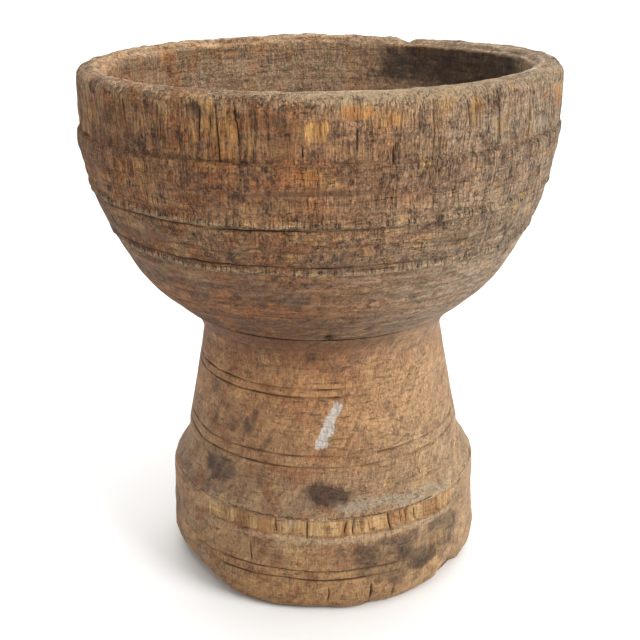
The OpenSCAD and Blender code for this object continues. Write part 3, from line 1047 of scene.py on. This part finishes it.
def old_wood(name, tones, looks):
    """A finish of dry turned wood, from its tones by height and its looks."""
    wood = OldWood(name, looks)
    gaps = wood.gaps()
    colour = wood.marked(wood.grained(wood.ground(tones)))
    wood.put(wood.shader.inputs["Base Color"], wood.mix(gaps, colour, looks["dirt"]))
    rough = looks["roughness"] + (wood.fibre - 0.5) * 0.4 + wood.dust_and_highlight * 0.1
    wood.put(wood.shader.inputs["Roughness"], rough.clipped())
    wood.shader.inputs["Specular IOR Level"].default_value = 0.3
    relief = ((wood.fibre + wood.hair * 0.8 + wood.crumb * 0.5) * wood.opened
              + wood.late * 0.16 + wood.tooling * 0.25 - gaps * 0.6 + wood.patchy * 0.6)
    bump = wood.add("ShaderNodeBump", {"Height": relief, "Strength": 1.0,
                                       "Distance": looks["relief"] * MM})
    wood.put(wood.shader.inputs["Normal"], bump)
    return wood.material


# ---------------------------------------------------------------------------------------
# Camera, light and floor
# ---------------------------------------------------------------------------------------
CUP_MIDDLE = (0.0, 0.0, 0.09)


def camera():
    """Stands in front of the cup, a little above its rim, and looks down at it."""
    down, tilt, aside = (math.radians(degrees) for degrees in (20.88, -0.7, 0.1))
    stand_back, eye_level = 0.325, 0.20175
    view = bpy.data.cameras.new("camera")
    view.sensor_width = 36.0
    view.lens = 59.9
    eye = placed("camera", view)
    forward = Vector((-math.sin(aside), math.cos(down), -math.sin(down))).normalized()
    level = forward.cross(Vector((0, 0, 1))).normalized()
    upright = level.cross(forward)
    right = math.cos(tilt) * level + math.sin(tilt) * upright
    up = right.cross(forward)
    eye.matrix_world = Matrix((right, up, -forward)).transposed().to_4x4()
    eye.matrix_world.translation = Vector((0, -stand_back, eye_level))
    bpy.context.scene.camera = eye


def studio():
    """A pale floor, an even white surround and soft lamps, the strongest at the right."""
    bpy.context.scene.view_settings.view_transform = "Standard"
    world = bpy.data.worlds.new("studio")
    world.use_nodes = True
    backdrop = world.node_tree.nodes["Background"]
    backdrop.inputs["Color"].default_value = (1, 1, 1, 1)
    backdrop.inputs["Strength"].default_value = 0.62
    bpy.context.scene.world = world
    soft_lamp("window", size=0.35, power=4.9, place=(0.52, -0.4, 0.48), target=CUP_MIDDLE)
    soft_lamp("overhead", size=1.6, power=11.0, place=(0.1, 0.1, 1.4), target=CUP_MIDDLE)
    soft_lamp("backdrop_lamp", size=2.6, power=60.0, place=(0.0, 2.2, 2.0), target=(0.0, 2.0, 0.0))
    side = 3.0
    mesh = bpy.data.meshes.new("floor")
    mesh.from_pydata([(-side, -side, 0), (side, -side, 0), (side, side, 0), (-side, side, 0)], [],
                     [(0, 1, 2, 3)])
    floor = placed("floor", mesh)
    floor.data.materials.append(floor_paint())


def soft_lamp(name, size, power, place, target):
    """A square lamp of this size in metres that faces its target."""
    lamp = bpy.data.lights.new(name, "AREA")
    lamp.size = size
    lamp.energy = power
    stand = placed(name, lamp)
    aim = Vector(target) - Vector(place)
    stand.matrix_world = aim.to_track_quat("-Z", "Y").to_matrix().to_4x4()
    stand.matrix_world.translation = Vector(place)


def floor_paint():
    """Plain matt paint, just off white."""
    paint = bpy.data.materials.new("floor_paint")
    paint.use_nodes = True
    shader = paint.node_tree.nodes["Principled BSDF"]
    shader.inputs["Base Color"].default_value = (0.86, 0.86, 0.85, 1)
    shader.inputs["Roughness"].default_value = 0.9
    return paint


# ---------------------------------------------------------------------------------------
# The cup
# ---------------------------------------------------------------------------------------
# Colours by height, each spread softly into the next
BOWL_TONES = (
    (joint_z, tone(116, 86, 63)), (joint_z + 10, tone(120, 89, 66)),
    (joint_z + 12, tone(154, 106, 70)), (joint_z + 18, tone(120, 92, 70)),
    (joint_z + 29, tone(154, 118, 87)), (joint_z + 41, tone(180, 138, 98)),
    (joint_z + 51, tone(164, 116, 80)), (joint_z + 60, tone(162, 118, 82)),
    (joint_z + 68, tone(174, 130, 92)), (crest_z, tone(204, 170, 130)),
)
STEM_TONES = (
    (0, tone(168, 124, 78)), (10, tone(172, 131, 86)), (20, tone(162, 125, 87)),
    (31, tone(172, 134, 94)), (35, tone(150, 122, 94)), (43, tone(158, 122, 88)),
    (58, tone(174, 130, 88)), (72, tone(178, 130, 86)), (80, tone(138, 93, 61)),
    (joint_z, tone(112, 77, 55)),
)
# How strong each part of a finish is, and the colours that it is mixed from
# The rubbed colour also serves the painted highlights, and the paler right side is partly painted
# light.
BOWL_LOOKS = {
    "greying_and_painted_light": 0.62, "pale": tone(180, 163, 137), "warmth": 0.75, "warm": tone(168, 104, 56),
    "gilding": 0.58, "gold": tone(212, 162, 98), "shading": 0.8, "deep": tone(92, 64, 47),
    "fibre": 2.0, "hair": 1.9, "crumb": 2.7, "tooling": 1.0, "scuffs": 0.2, "rings": 0.45,
    "splits": 0.6, "crackle": 0.4, "waves": 0.6, "flecks": 0.6,
    "bare": tone(220, 166, 98), "bare_deep": tone(186, 120, 62), "rubbed": tone(210, 180, 140),
    "checks": 0.65, "pits": 0.6, "dashes": 0.15, "dirt": tone(44, 31, 24), "roughness": 0.78,
    "inner": tone(166, 142, 114), "relief": 2.2,
}
STEM_LOOKS = {
    "greying_and_painted_light": 0.5, "pale": tone(190, 160, 122), "warmth": 0.7, "warm": tone(150, 96, 60),
    "gilding": 0.45, "gold": tone(200, 160, 108), "shading": 0.55, "deep": tone(96, 72, 58),
    "fibre": 0.6, "hair": 0.7, "crumb": 1.4, "tooling": 0.6, "scuffs": 1.3, "rings": 0.14,
    "splits": 0.15, "crackle": 0.3, "waves": 0.3, "flecks": 0.25,
    "bare": tone(206, 168, 118), "bare_deep": tone(176, 128, 82), "rubbed": tone(196, 172, 136),
    "checks": 0.35, "pits": 0.5, "dashes": 0.5, "dirt": tone(58, 40, 30), "roughness": 0.6,
    "inner": tone(150, 120, 90), "relief": 0.8,
}

WEDGE_LOOKS = {**STEM_LOOKS, "warmth": 0.3, "greying_and_painted_light": 0.1, "shading": 0.2, "scuffs": 0.4}

bowl_finish = old_wood("dry_bowl_wood", BOWL_TONES, BOWL_LOOKS)
stem_finish = old_wood("worn_stem_wood", STEM_TONES, STEM_LOOKS)
wedge_finish = old_wood("split_wedge_wood", STEM_TONES, WEDGE_LOOKS)

camera()
studio()

RAYS = 350
OVAL = {"Oval Axis": (0.94, 0.34, 0.0), "Wander Scale": 26.0}
bowl = turn("turned_bowl", bowl_outline(), [crack[0] for crack in BAND_CRACKS], RAYS, bowl_finish,
            **OVAL, **{"Oval": 0.002, "Wander": 0.25 * MM, "Wander Seed": 3.0})
surface = Surface(bowl, bowl_outline())
wear_bowl(surface)
surface.finish()
wedge = bpy.data.objects["tenon_wedge"]
saw_kerf(bowl, wedge, gap=0.05)

pedestal = turn("turned_pedestal", pedestal_outline(),
                [crack[0] for crack in BAND_TICKS + FOOT_CRACKS], RAYS, stem_finish,
                **OVAL, **{"Oval": 0.003, "Wander": 0.3 * MM, "Wander Seed": 8.0})
surface = Surface(pedestal, pedestal_outline())
wear_pedestal(surface)
surface.finish()

for piece, node in ((bowl, "bowl"), (pedestal, "pedestal")):
    piece.data.shade_smooth()
    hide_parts(node)
    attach(piece, "root")
wedge.data.materials.clear()
wedge.data.materials.append(wedge_finish)
